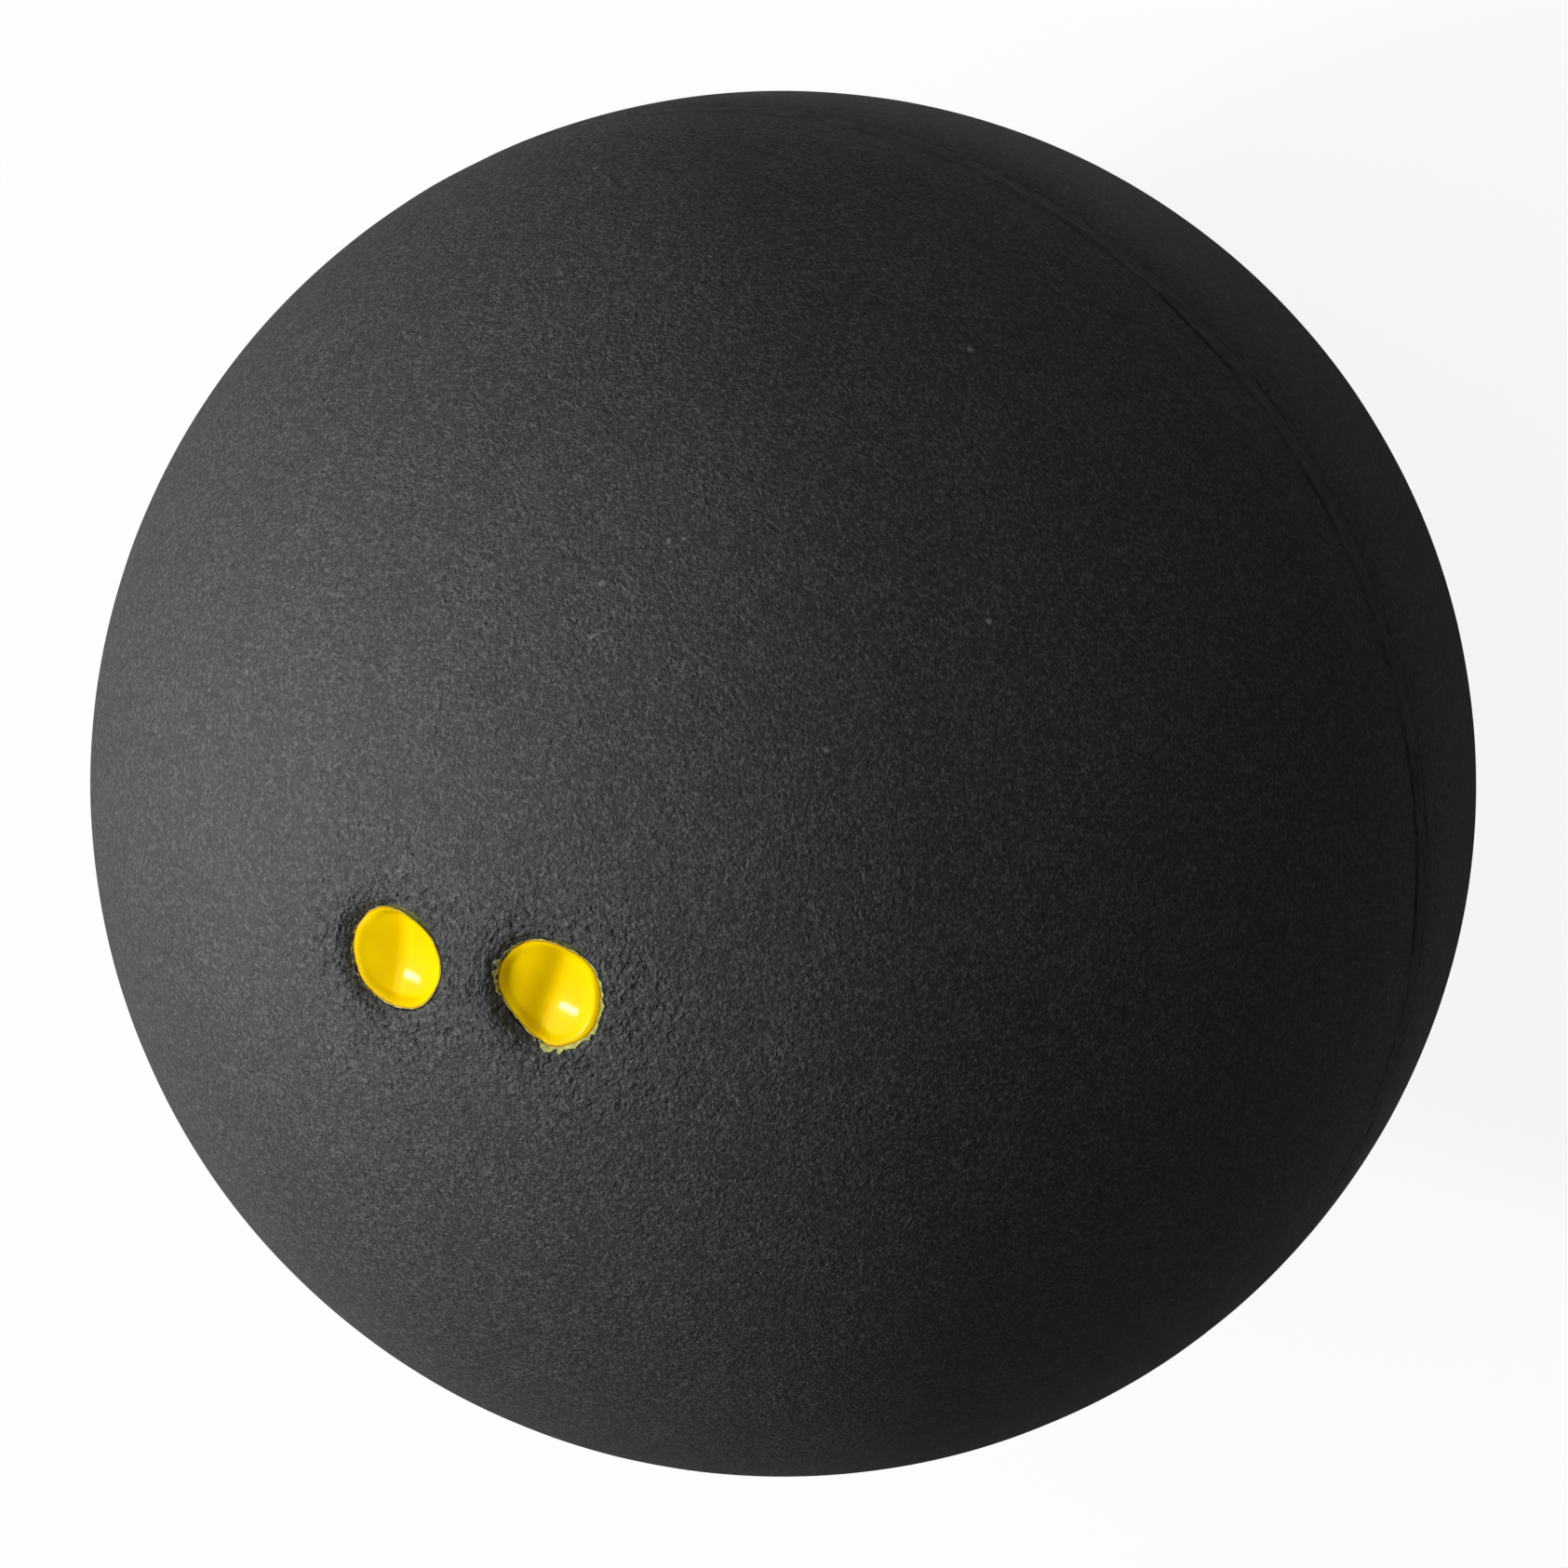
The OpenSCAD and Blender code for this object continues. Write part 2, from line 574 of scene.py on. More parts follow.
def cut_cup(mesh, dot):
    """Cuts a round hole for a dot's cup into the top of the ball."""
    near = [f for f in mesh.faces if dot.holds(f.calc_center_median(), CUT_REACH)]
    edges = each_once(e for f in near for e in f.edges)
    corners = each_once(v for e in edges for v in e.verts)
    level = sizes("ball").radius - dot.surface_depth(dot.radius)
    bmesh.ops.bisect_plane(mesh, geom=near + edges + corners, dist=CUP_SNAP,
                           plane_co=dot.axis * level, plane_no=dot.axis)
    inside = [f for f in mesh.faces if f.calc_center_median().dot(dot.axis) > level]
    bmesh.ops.delete(mesh, geom=inside, context="FACES")
    split_into_triangles(mesh)


def close_cup(mesh, dot):
    """Gives a cup its wall and floor, once the slope round it is pressed in."""
    dots = sizes("dots")
    foot = dot.surface_depth(dot.radius) + dots.drop + dots.cup
    wall = [e for e in open_edges(mesh) if dot.holds(edge_middle(e), WALL_REACH)]
    for reach, depth in CUP_STEPS:
        wall = next_ring(mesh, wall, lambda co: dot.moved(
            co, dot.radius * reach, rim_level(dot, dot.bearing(co)) * (1 - depth) + foot * depth))
    bmesh.ops.edgeloop_fill(mesh, edges=wall)


def seam_edges(mesh):
    """Open edges at the seam, without those of the cups."""
    return [e for e in open_edges(mesh) if edge_middle(e).z < sizes("ball").radius / 2]


def close_half(mesh, rim, side):
    """Closes a half shell from the seam's line across the wall and round the hollow."""
    ball = sizes("ball")
    seam = sizes("seam")
    edge = side * seam.film / 2
    rim = next_ring(mesh, rim, lambda co: at_azimuth(co, ball.radius - seam.band_depth, edge))
    flat = math.sqrt(ball.hollow * ball.hollow - edge * edge)
    rim = next_ring(mesh, rim, lambda co: at_azimuth(co, flat, edge))
    corners = each_once(v for e in rim for v in e.verts)
    bmesh.ops.remove_doubles(mesh, verts=corners, dist=HOLLOW_FACET)
    rim = open_edges(mesh)
    for ring in range(1, HOLLOW_RINGS):
        latitude = side * math.pi / 2 * ring / HOLLOW_RINGS
        rim = next_ring(mesh, rim, lambda co: on_ball(azimuth_of(co), latitude, ball.hollow))
    bmesh.ops.edgeloop_fill(mesh, edges=rim)


def build_half(side, name, node):
    """One half shell: buffed outside, lip at the seam, joint face and hollow."""
    ball = sizes("ball")
    mesh = sphere_mesh(ball.radius, ball.facet)
    cut_level(mesh, side * ROUGH_CUT, side)
    halve_long_edges(mesh, side)
    cut_level(mesh, side * LIP_TOP, side)
    if side == DOTTED:
        for dot in DOTS:
            cut_cup(mesh, dot)
    rim = seam_edges(mesh)
    for v in mesh.verts:
        even = v.co.normalized() * ball.radius
        v.co = even.normalized() * (ball.radius - rubber_depth(even, side))
    for step in RUBBER_LIP:
        rim = next_ring(mesh, rim, lambda co: at_azimuth(co, *lip_step(azimuth_of(co), side, step)))
    if side == DOTTED:
        for dot in DOTS:
            close_cup(mesh, dot)
        rim = seam_edges(mesh)
    close_half(mesh, rim, side)
    add_piece(mesh, name, buffed_rubber, node)


# The glue between the half shells

# Steps across half of the glue band, from a line's floor inwards, as in the rubber's lip
BAND_EDGE = ((0.0, 0.0, 1.0), (-0.5, 0.0, 0.7), (-1.0, 0.0, 0.25), (-1.0, -0.05 * MM, 0.12),
             (-1.0, -0.12 * MM, 0.1), (-1.0, -0.2 * MM, 0.1))
# All steps across it, from the dark line to the faint one, each with the line it belongs to
BAND_STEPS = [(DOTTED, step) for step in BAND_EDGE]
BAND_STEPS += [(PLAIN, step) for step in reversed(BAND_EDGE)]
# How far the glue stays clear of the hollow's wall, and the depth of the smears in its band
HOLLOW_GAP = 0.01 * MM
SMEAR_DEPTH = 0.03 * MM
BEAD_STEPS = 9


def band_scuff(azimuth, height):
    """Depth of the smears that pressing and buffing leave in the glue band."""
    return SMEAR_DEPTH * max(0.0, round_noise(azimuth, 75, height / MM * 5) + 0.35)


def build_glue(name, node):
    """The glue: band on the surface, film across the wall and bead in the hollow."""
    ball = sizes("ball")
    seam = sizes("seam")
    mesh = bmesh.new()
    role = mesh.verts.layers.int.new("band_step")
    foot = ball.radius - seam.band_depth
    mouth = ball.hollow - HOLLOW_GAP
    edge = seam.film / 2
    places = [lip_step(0.0, side, step) for side, step in BAND_STEPS]
    places += [(foot, -edge), (mouth, -edge)]
    for k in range(BEAD_STEPS):
        turn = math.pi * k / (BEAD_STEPS - 1)
        z = -math.cos(turn) * seam.bead
        wall = math.sqrt(ball.hollow ** 2 - z * z) - HOLLOW_GAP
        places.append((wall - math.sin(turn) * seam.bead, z))
    places += [(mouth, edge), (foot, edge)]
    profile = [mesh.verts.new((flat, 0, z)) for flat, z in places]
    for number, corner in enumerate(profile[:len(BAND_STEPS)], 1):
        corner[role] = number
    outline = [mesh.edges.new(pair) for pair in zip(profile, profile[1:] + profile[:1])]
    bmesh.ops.spin(mesh, geom=profile + outline, cent=CENTRE, axis=UP, angle=math.tau,
                   steps=seam.turns, use_merge=True)
    for v in mesh.verts:
        if v[role]:
            side, step = BAND_STEPS[v[role] - 1]
            turn = azimuth_of(v.co)
            flat, z = lip_step(turn, side, step)
            if step[1] < 0:
                flat -= band_scuff(turn, z)
            v.co = at_azimuth(v.co, flat, z)
    add_piece(mesh, name, cured_glue, node)


# The paint in the cups


@dataclass
class PaintShape:
    """How the paint of one dot lies: its outline, its fringe and its dish.

    Bearings are in degrees, 0 towards +X and 90 towards +Y, and lengths in millimetres.
    The thick paint reaches past the cup by margin, with a ragged edge and lobes, each of them
    (bearing, half width in degrees, reach). The dish sinks below the rim. Its lowest line runs
    through its middle at a turn, with walls across it as (place, slope) and a curvature along it.
    """

    margin: float
    ragged: float
    lobes: tuple
    fringe: float
    fringe_lobes: tuple
    sink: float
    middle: tuple
    turn: float
    walls: tuple
    curvature: float
    seed: float

    def lobe_sum(self, bearing, lobes):
        """Sum of some lobes at a bearing, in millimetres."""
        total = 0.0
        for middle, half, reach in lobes:
            away = turn_between(bearing, math.radians(middle)) / math.radians(half)
            total += reach * math.exp(-away * away)
        return total

    def ripple(self, bearing, rate, seed):
        """Noise round the dot, about -1 to 1."""
        place = on_circle(bearing, rate, self.seed + seed)
        return noise.noise(place) + 0.6 * noise.noise(place * 2.7) + 0.35 * noise.noise(place * 6.1)

    def outline(self, dot, bearing):
        """Reach of the thick paint's edge at a bearing."""
        lobes = self.lobe_sum(bearing, self.lobes)
        reach = self.margin + lobes + self.ragged * self.ripple(bearing, 4, 0)
        return dot.radius + reach * MM

    def fringe_width(self, bearing):
        """Width of the thin fringe outside the thick paint at a bearing."""
        width = self.fringe + self.lobe_sum(bearing, self.fringe_lobes)
        return max(LEAST_FRINGE, width * (0.8 + 0.7 * self.ripple(bearing, 9, 5.5))) * MM

    def rise(self, across):
        """Height of the dish's wall above its lowest line."""
        total = 0.0
        for (start, slope), (end, next_slope) in zip(self.walls, self.walls[1:]):
            low = max(start, min(0.0, across))
            high = min(end, max(0.0, across))
            if high > low:
                middle = ((low + high) / 2 - start) / (end - start)
                total += (slope + (next_slope - slope) * middle) * (high - low)
        return math.copysign(1.0, across) * total

    def dish(self, bearing, reach):
        """Depth of the dish at a place on the dot, below the cup's rim."""
        off = Vector((math.cos(bearing), math.sin(bearing))) * reach / MM - Vector(self.middle)
        turn = math.radians(self.turn)
        across = off.x * math.sin(turn) - off.y * math.cos(turn)
        along = off.x * math.cos(turn) + off.y * math.sin(turn)
        return self.sink - self.rise(across) - self.curvature * along * along / 2


LEFT_PAINT = PaintShape(
    margin=-0.05, ragged=0.012,
    lobes=((72, 40, -0.12), (0, 26, 0.02), (-30, 20, -0.03), (-80, 30, -0.04), (-135, 20, 0.05),
           (175, 45, 0.09)),
    fringe=0.02, fringe_lobes=((-150, 60, 0.03),),
    sink=0.5, middle=(0.0, -0.09), turn=86,
    walls=((-2.0, -0.42), (-0.4, -0.46), (-0.04, 0.02), (0.08, 0.11), (0.6, 0.14), (0.9, 0.3),
           (2.0, 0.45)),
    curvature=0.22, seed=3.0)
RIGHT_PAINT = PaintShape(
    margin=-0.02, ragged=0.018,
    lobes=((165, 35, 0.1), (78, 32, -0.12), (35, 15, 0.02), (5, 35, -0.05), (-50, 20, 0.02),
           (-86, 15, 0.08), (-138, 24, -0.12)),
    fringe=0.03, fringe_lobes=((165, 26, 0.12), (15, 45, 0.06), (-50, 28, 0.13), (-88, 18, 0.13)),
    sink=0.44, middle=(-0.02, -0.28), turn=72,
    walls=((-2.0, -0.14), (-0.95, -0.18), (-0.5, -0.44), (-0.3, -0.38), (0.1, 0.24), (0.3, 0.33),
           (0.65, 0.37), (0.95, 0.5), (2.0, 0.6)),
    curvature=0.24, seed=9.0)

# Mesh of a dot: rings in all, those in the fringe, and steps round it
PAINT_RINGS = 44
FRINGE_RINGS = 6
PAINT_STEPS = 256
# Least width of the fringe in millimetres, and share of the reach where the dish starts to end
LEAST_FRINGE = 0.012
DISH_EDGE = 0.8
# How far the paint's side stays clear of the cup's wall, and two depths on its way down
SIDE_GAP = 0.01 * MM
SHOULDER = 0.1 * MM
SIDE_TOP = 0.2 * MM
# Share of the cup's depth that the paint fills, and distance at which corners are one
CUP_FILL = 0.98
SAME_CORNER = 0.0005 * MM


def rubber_level(dot, bearing, reach):
    """Depth of the rubber beside a cup, below the ball's surface over the cup's axis."""
    return dot.surface_depth(reach) + collar_depth(dot, bearing, reach)


def paint_depth(dot, shape, bearing, reach, outline):
    """Depth of the paint's surface: dished in the cup, and a thin skin on the slope round it."""
    dots = sizes("dots")
    if reach >= outline and reach >= dot.radius:
        return rubber_level(dot, bearing, reach) - dots.skin
    low = rim_level(dot, math.pi) - dots.skin
    high = rim_level(dot, 0.0) - dots.skin
    level = (low + high) / 2 - (low - high) / 2 * math.cos(bearing) * reach / dot.radius
    level += shape.dish(bearing, reach) * MM * dots.dish
    edge = rubber_level(dot, bearing, max(outline, dot.radius)) - dots.skin
    level += (edge - level) * smooth((reach / outline - DISH_EDGE) / (1 - DISH_EDGE))
    if reach > dot.radius:
        level = min(level, rubber_level(dot, bearing, reach) - dots.skin)
    return level


def build_paint(dot, shape, name, node):
    """One dot of paint: dished top, ragged fringe over the slope and plug in the cup."""
    dots = sizes("dots")
    mesh = bmesh.new()
    ring_of = mesh.verts.layers.int.new("ring")
    edge_share = mesh.verts.layers.float.new("edge_share")
    reaches = [dot.radius * ring / PAINT_RINGS for ring in range(PAINT_RINGS + 1)]
    spoke = [mesh.verts.new(dot.point(0.0, reach, 0.0)) for reach in reaches]
    for ring, corner in enumerate(spoke):
        corner[ring_of] = ring
    lines = [mesh.edges.new(pair) for pair in zip(spoke, spoke[1:])]
    bmesh.ops.spin(mesh, geom=spoke + lines, cent=CENTRE, axis=dot.axis, angle=math.tau,
                   steps=PAINT_STEPS, use_merge=True)
    bmesh.ops.remove_doubles(mesh, verts=mesh.verts, dist=SAME_CORNER)
    thick_rings = PAINT_RINGS - FRINGE_RINGS
    for v in mesh.verts:
        bearing = dot.bearing(v.co)
        outline = shape.outline(dot, bearing)
        share = min(1.0, v[ring_of] / thick_rings)
        over = max(0, v[ring_of] - thick_rings) / FRINGE_RINGS
        reach = outline * share + shape.fringe_width(bearing) * over
        v[edge_share] = share + over
        v.co = dot.point(bearing, reach, paint_depth(dot, shape, bearing, reach, outline))
    inset = dot.radius - SIDE_GAP
    under = 2 * dots.skin
    foot = dot.surface_depth(dot.radius) + dots.drop + dots.cup * CUP_FILL
    side_steps = (
        lambda co, rim: (dot.reach(co), dot.depth(co) + under),
        lambda co, rim: (min(inset, dot.reach(co) - under), rim + SHOULDER),
        lambda co, rim: (inset, rim + SIDE_TOP),
        lambda co, rim: (inset, foot),
    )
    edge = open_edges(mesh)
    for step in side_steps:
        edge = next_ring(mesh, edge, lambda co: dot.moved(
            co, *step(co, rim_level(dot, dot.bearing(co)))))
    bmesh.ops.edgeloop_fill(mesh, edges=edge)
    add_piece(mesh, name, yellow_paint, node)


# Shader maths: a value in a shader that Python arithmetic extends


class Value:
    """A number on its way through a shader."""

    def __init__(self, shader, socket):
        self.shader = shader
        self.socket = socket

    def maths(self, operation, first, second=0.0):
        return self.shader.node("Math", {0: first, 1: second}, operation=operation)

    def __add__(self, other):
        return self.maths("ADD", self, other)

    __radd__ = __add__

    def __sub__(self, other):
        return self.maths("SUBTRACT", self, other)

    def __rsub__(self, other):
        return self.maths("SUBTRACT", other, self)

    def __mul__(self, other):
        return self.maths("MULTIPLY", self, other)

    __rmul__ = __mul__

    def __truediv__(self, other):
        return self.maths("DIVIDE", self, other)

    def __pow__(self, other):
        return self.maths("POWER", self, other)

    def __abs__(self):
        return self.maths("ABSOLUTE", self)

    def at_most(self, other):
        return self.maths("MINIMUM", self, other)

    def at_least(self, other):
        return self.maths("MAXIMUM", self, other)


class Shader:
    """The node tree of a material or a world, built up from expressions."""

    def __init__(self, owner, surface="Principled BSDF"):
        owner.use_nodes = True
        self.tree = owner.node_tree
        self.surface = self.tree.nodes[surface]

    @cached_property
    def place(self):
        """The place on the piece, in metres."""
        return self.node("TexCoord", {}, "Object")

    def node(self, kind, sockets, output=0, **settings):
        """Adds a node: its settings first, then the values or links of its sockets."""
        made = self.tree.nodes.new("ShaderNode" + kind)
        for key, value in settings.items():
            setattr(made, key, value)
        for key, value in sockets.items():
            self.fill(self.socket(made.inputs, key), value)
        return Value(self, self.socket(made.outputs, output))

    def socket(self, sockets, key):
        """A socket by its number, its identifier or its name."""
        if isinstance(key, int):
            return sockets[key]
        for socket in sockets:
            if socket.identifier == key:
                return socket
        return sockets[key]

    def fill(self, socket, value):
        """Links a value to a socket, or sets the socket to a constant."""
        if isinstance(value, Value):
            self.tree.links.new(value.socket, socket)
        elif hasattr(value, "__len__") and socket.type == "RGBA":
            socket.default_value = (*value, 1.0)
        else:
            socket.default_value = value

    def set(self, **sockets):
        """Sets the surface's sockets, with _ in a name for a space."""
        for name, value in sockets.items():
            self.fill(self.surface.inputs[name.replace("_", " ")], value)

    def light_path(self, ray):
        """1 for a kind of ray and 0 for the others."""
        return self.node("LightPath", {}, "Is " + ray + " Ray")

    def vector(self, operation, first, second, output=0):
        """Maths on two vectors."""
        return self.node("VectorMath", {0: first, 1: second}, output, operation=operation)

    def stretched(self, scale):
        """The place on the piece in millimetres, stretched on each axis."""
        return self.vector("MULTIPLY", self.place, tuple(s / MM for s in scale))

    def height(self):
        """Height of the place over the seam, in millimetres."""
        return self.node("SeparateXYZ", {0: self.place}, "Z") / MM

    def distance(self, point):
        """Distance from a point of the piece, in millimetres."""
        return self.vector("DISTANCE", self.place, tuple(point), "Value") / MM

    def fade(self, value, start, end):
        """Eased 0 to 1 as a value goes from start to end."""
        return self.node("MapRange", {"Value": value, "From Min": start, "From Max": end},
                         interpolation_type="SMOOTHSTEP")

    def noise(self, rate, detail=2.0, roughness=0.5, seed=0.0, at=None):
        """Soft noise with rate waves a millimetre, from 0 to 1."""
        sockets = {"Vector": at or self.stretched(EVEN), "W": seed, "Scale": rate,
                   "Detail": detail, "Roughness": roughness}
        return self.node("TexNoise", sockets, "Fac", noise_dimensions="4D")

    def blots(self, name, at=None):
        """Soft blots from the table of blots."""
        start, end, *texture = BLOTS[name]
        return self.fade(self.noise(*texture, at), start, end)

    def ridges(self, rate, seed, sharpness, at):
        """Thin crooked ridges, as in leather, from 0 to 1."""
        return (1 - abs(self.noise(rate, 2.0, 0.5, seed, at) - 0.5) * 4).at_least(0.0) ** sharpness

    def blend(self, share, first, second):
        """Colour part way from the first to the second, or past it where share is over 1."""
        return self.node("Mix", {"Factor_Float": share, "A_Color": first, "B_Color": second},
                         "Result_Color", data_type="RGBA", clamp_factor=False)

    def bump(self, height, distance, normal=None):
        """A normal tilted by a height from 0 to 1 that stands for a distance in metres."""
        sockets = {"Height": height, "Distance": distance}
        if normal:
            sockets["Normal"] = normal
        return self.node("Bump", sockets)


def finish(recipe):
    """The material that a recipe fills, under the recipe's name. It is made once."""
    made = bpy.data.materials.get(recipe.__name__)
    if not made:
        made = bpy.data.materials.new(recipe.__name__)
        recipe(Shader(made))
    return made


# Stretches of a pattern along X, Y and Z: even, a little flattened, and drawn out round the waist
EVEN = (1, 1, 1)
FLATTENED = (1, 1, 1.3)
DRAWN = (0.45, 0.45, 1.4)
# Blots: noise at which they start and at which they are full, then the noise's waves a
# millimetre, detail, roughness and seed
BLOTS = {
    "drawn_pits": (0.56, 0.7, 5.0, 2.0, 0.6, 61.0),
    "round_pits": (0.5, 0.66, 8.0, 1.0, 0.6, 64.0),
    "furrow_shade": (0.35, 0.6, 2.2, 2.0, 0.6, 67.0),
    "dapple": (0.45, 0.68, 10.5, 1.0, 0.6, 15.0),
    "patches": (0.42, 0.68, 0.32, 3.0, 0.55, 12.0),
    "frost": (0.52, 0.74, 5.5, 3.0, 0.65, 21.0),
    "dusty_places": (0.48, 0.6, 0.9, 1.0, 0.5, 31.0),
    "worn_places": (0.44, 0.62, 0.45, 2.0, 0.5, 75.0),
    "shaded_creases": (0.54, 0.68, 3.9, 2.0, 0.6, 73.0),
    "glue_flecks": (0.46, 0.7, 5.5, 2.0, 0.6, 3.0),
    "glue_streaks": (0.52, 0.66, 3.0, 3.0, 0.65, 7.0),
    "paint_clouds": (0.35, 0.75, 0.9, 2.0, 0.5, 2.0),
    "bare_paint": (0.42, 0.6, 7.5, 2.0, 0.6, 27.0),
}
# Share of a colour that is left in pits and streaks, and in the painted shade of creases and of
# the seam's furrow
DEEP = 0.3
# Cap on the bloom with the painted sheen, light and highlights in it, as a share of the way from
# the rubber's colour to the bloom's
MOST_BLOOM = 1.6

# Small pale marks: azimuth and latitude in degrees, half width in millimetres, brightness
SPECKS = (
    (80.6, 56.6, 0.11, 2.6), (74.9, 51.3, 0.1, 2.3), (73.4, 50.6, 0.09, 2), (69, 53.2, 0.09, 1.5),
    (42.3, 38.6, 0.12, 3.4), (63.2, 22.4, 0.13, 3), (145, 57, 0.12, 1.3), (-1.7, -5.6, 0.15, 1.6),
    (-4, -6.6, 0.1, 1.2), (40.2, 55.3, 0.12, 2.4), (-145, 73.7, 0.1, 1.2), (104.1, 14.1, 0.14, 2.2),
    (-60, 20, 0.1, 2), (-105, 42, 0.1, 1.4), (170, 25, 0.12, 2.2), (25, -40, 0.1, 1.8),
    (-130, -25, 0.11, 2.4), (100, -55, 0.1, 1.6),
)
# Soft pale hazes left by handling, the first of them a painted pool of light beside the seam on
# the plain half: azimuth and latitude in degrees, half width in millimetres, and share
HAZES_AND_LIGHT_POOL = (
    (-8.0, -14.0, 14.0, 0.6), (92.0, -10.0, 9.0, 0.3), (-128.0, 30.0, 11.0, 0.2),
    (170.0, -35.0, 12.0, 0.25), (75.0, 51.0, 7.0, 0.12),
)
# Scratches: azimuth and latitude of both ends in degrees, half width in millimetres, brightness
SCRATCHES = (
    (58.1, 54.3, 55.8, 54.4, 0.05, 0.7), (55.8, 54.4, 53.7, 55.0, 0.045, 0.5),
    (122.2, 31.2, 123.2, 33.1, 0.05, -0.8), (78.6, 60.9, 77.5, 60.1, 0.05, 1.8),
    (-40.0, 48.0, -43.0, 50.0, 0.05, 0.5), (-100.0, 12.0, -97.0, 14.0, 0.05, -0.6),
    (20.0, -30.0, 24.0, -31.0, 0.05, 0.5),
)


def place_in_degrees(azimuth, latitude):
    """Point of the ball's surface, from degrees."""
    return on_ball(math.radians(azimuth), math.radians(latitude), sizes("ball").radius)


def spots(shader, table, core):
    """Sum of round soft marks, each of them even within a share, core, of its half width."""
    return sum(shader.fade(shader.distance(place_in_degrees(*place)), half, half * core) * strength
               for *place, half, strength in table)


def scratch(shader, azimuth0, latitude0, azimuth1, latitude1, half, brightness):
    """A scratch: its brightness along it and 0 away from it."""
    start = place_in_degrees(azimuth0, latitude0)
    run = place_in_degrees(azimuth1, latitude1) - start
    off = shader.vector("SUBTRACT", shader.place, tuple(start))
    along = shader.vector("DOT_PRODUCT", off, tuple(run / run.length_squared), "Value")
    near = shader.node("VectorMath", {0: tuple(run), "Scale": along.at_least(0.0).at_most(1.0)},
                       operation="SCALE")
    away = shader.vector("DISTANCE", off, near, "Value") / MM
    return shader.fade(away, half * 1.6, half * 0.4) * brightness


def leather(shader, rate, seed, at):
    """Leathery relief: crooked ridges among fine pebbles."""
    pebbles = shader.noise(10.5, 1.0, 0.5, seed + 3.0, at)
    return shader.ridges(rate, seed, 2.0, at) * 0.5 + pebbles * 0.7


def buffed_rubber(shader):
    """Buffed rubber: leathery grain, pale bloom in patches, specks and scratches.

    Painted shade lies in the creases near the dots and beside the seam, painted highlights on the
    fold crests, and painted sheen and a painted pool of light on the plain half.
    """
    look = sizes("look")
    height = shader.height()
    even = shader.stretched(FLATTENED)
    drawn = shader.stretched(DRAWN)

    waist = shader.fade(abs(height), 9.0, 2.0)
    grain = leather(shader, 6.4, 0.0, even) * (1 - waist) + leather(shader, 6.0, 5.0, drawn) * waist

    from_dots = [shader.distance(dot.axis * sizes("ball").radius) for dot in DOTS]
    near_dots = shader.fade(from_dots[0].at_most(from_dots[1]), 5.0, 1.8)
    rugged = near_dots * 0.6 + shader.blots("worn_places") * 0.3
    # Folds and creases near the dots: in relief, with painted highlights on the folds and painted
    # shade in the creases
    lit_folds = shader.ridges(2.9, 71.0, 1.5, even)
    shaded_creases = shader.blots("shaded_creases", even)

    # Paler and glossier on the plain half: partly its own smoother finish, partly painted sheen of
    # grazing light
    plain_half_sheen = shader.fade(height, 0.6, -3.0)
    strip = shader.fade(abs(height - 1.1), 1.3, 0.6)
    frost = shader.blots("frost", even)
    cells = shader.node("TexVoronoi", {"Vector": shader.stretched(EVEN), "Scale": 1.9})
    dust = shader.fade(cells, 0.14, 0.05) * shader.blots("dusty_places")
    bloom = shader.blots("dapple", even) + shader.blots("patches") * frost * 0.6 + frost * 0.15
    # Painted sheen on the plain half, and the painted pool of light in the hazes' first row, join
    # the bloom
    bloom = bloom + dust * 0.5 + plain_half_sheen * 0.25 + strip * 0.15 + spots(shader, HAZES_AND_LIGHT_POOL, 0.2)
    # Painted highlight on the fold crests near the dots, a little less bloom between them
    bloom = bloom + rugged * (lit_folds * 0.5 - 0.1)
    marks = spots(shader, SPECKS, 0.3) + sum(scratch(shader, *row) for row in SCRATCHES)
    bloom = bloom.at_most(MOST_BLOOM) + marks.at_least(0.0)

    furrow = shader.fade(abs(height - sizes("seam").band / MM / 2), 0.45, 0.08)
    dark = shader.blots("drawn_pits", drawn) * shader.fade(abs(height), 10.0, 6.0) * 0.5
    dark = dark + shader.blots("round_pits", even) * 0.6
    # Painted shade along the shallow furrow beside the seam's dark line, in broken streaks
    dark = dark + furrow * shader.blots("furrow_shade", drawn) * 0.6
    # Painted shade in the creases near the dots; dark scratches darken too
    dark = (dark + rugged * shaded_creases * 0.55 - marks.at_most(0.0)).at_most(1.0)

    shade = shader.blend(bloom, look.rubber, look.bloom)
    shade = shader.blend(dark, shade, tuple(look.rubber * DEEP))
    swell = shader.noise(1.1, 3.0, 0.6, 41.0, even) + rugged * (lit_folds - shaded_creases) * 2.0
    sheen = shader.noise(0.8, 2.0, 0.5, 51.0) * 0.08 - plain_half_sheen * 0.16
    shader.set(Base_Color=shade, Roughness=look.roughness + sheen, Specular_IOR_Level=0.5,
               Normal=shader.bump(swell, look.grain * 2.0, shader.bump(grain, look.grain * 2.1)))


def cured_glue(shader):
    """Cured glue, buffed level with the rubber: streaked, with pale flecks."""
    look = sizes("look")
    drawn = shader.stretched(DRAWN)
    flecks = shader.blots("glue_flecks", drawn)
    shade = shader.blend(flecks * 0.9 + 0.3, look.glue, look.bloom)
    shade = shader.blend(shader.blots("glue_streaks", drawn) * 0.7, shade, tuple(look.glue * DEEP))
    height = shader.ridges(3.0, 1.0, 2.0, drawn) + flecks * 0.5
    shader.set(Base_Color=shade, Roughness=look.roughness - 0.04 + flecks * 0.06,
               Normal=shader.bump(height, look.grain * 2.3))


